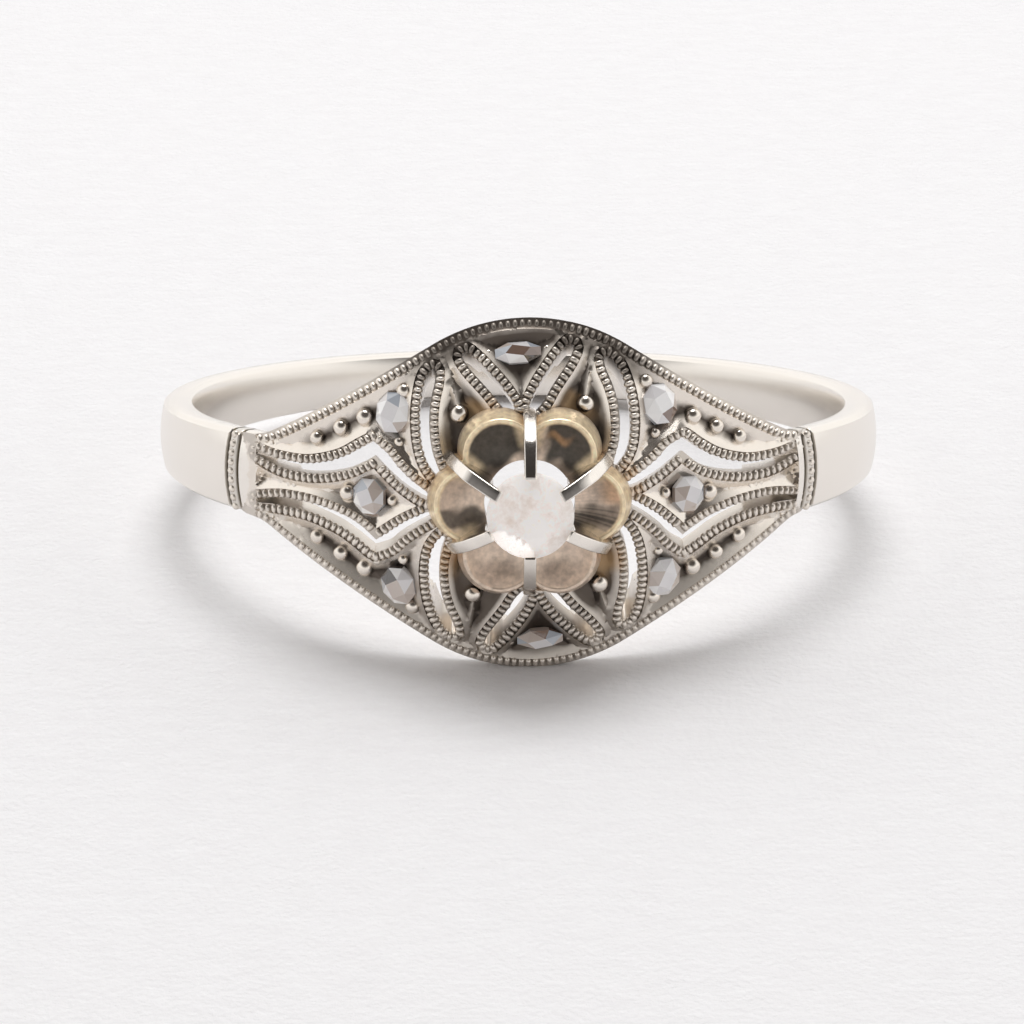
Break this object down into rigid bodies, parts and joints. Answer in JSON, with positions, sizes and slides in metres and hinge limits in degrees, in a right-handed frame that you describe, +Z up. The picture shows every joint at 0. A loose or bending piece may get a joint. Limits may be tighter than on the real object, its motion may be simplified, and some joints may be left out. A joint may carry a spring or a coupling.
{
  "type": "dome ring",
  "caption": "Domed filigree ring with a pierced head, a claw-set middle stone in a scalloped flower and small cut stones in the fields, lying on its side.",
  "frame": {"origin": "middle of the ring's footprint, on the floor it lies on", "axes": "+X to the right across the head, -Y the way the domed head faces, +Z up; the finger hole's axis leans 11.7 degrees from +Z towards +Y"},
  "size_m": [0.019, 0.0212, 0.0087],
  "materials": {
    "white_gold": "worn polish",
    "middle_stone": "frosted by wear",
    "small_stones": "cut and polished"
  },
  "bodies": {
    "root": {"ring_metalwork": "white_gold", "center_stone": "middle_stone", "side_stone_left": "small_stones", "side_stone_right": "small_stones", "corner_stone_1": "small_stones", "corner_stone_2": "small_stones", "corner_stone_3": "small_stones", "corner_stone_4": "small_stones", "top_stone": "small_stones", "bottom_stone": "small_stones"}
  },
  "joints": []
}
